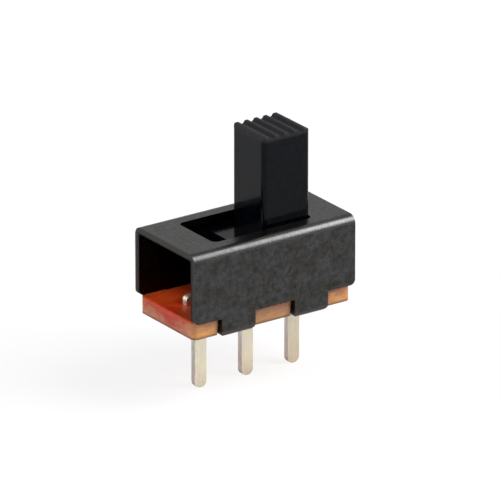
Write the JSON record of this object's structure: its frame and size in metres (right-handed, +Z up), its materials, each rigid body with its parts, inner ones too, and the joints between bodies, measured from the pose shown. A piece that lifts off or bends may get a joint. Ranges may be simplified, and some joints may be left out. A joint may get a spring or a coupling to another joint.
{
  "type": "slide switch",
  "caption": "Miniature through-hole slide switch: ridged black knob in a slotted folded steel frame, over a terminal board with pins in a row.",
  "frame": {"origin": "on the seating plane under the folded tabs, on the axis of the middle terminal", "axes": "+X along the travel and the row of terminals, +Y across the switch, +Z up towards the knob"},
  "size_m": [0.0086, 0.0046, 0.0115],
  "materials": {
    "black_steel": "semi-gloss black finish on steel sheet",
    "phenolic_board": "orange-brown phenolic laminate with paler cut edges",
    "tinned_terminal": "matt tin plate on brass strip",
    "black_plastic": "moulded black plastic",
    "spring_bronze": "bare spring bronze"
  },
  "bodies": {
    "base": {"frame": "black_steel", "terminal_board": "phenolic_board", "terminal_1": "tinned_terminal", "terminal_2": "tinned_terminal", "terminal_3": "tinned_terminal"},
    "slider": {"slider": "black_plastic", "contact_clip": "spring_bronze"}
  },
  "joints": [
    {"name": "slide", "type": "slide", "parent": "base", "child": "slider", "axis": [1, 0, 0], "range_m": [-0.00275, 0]}
  ]
}
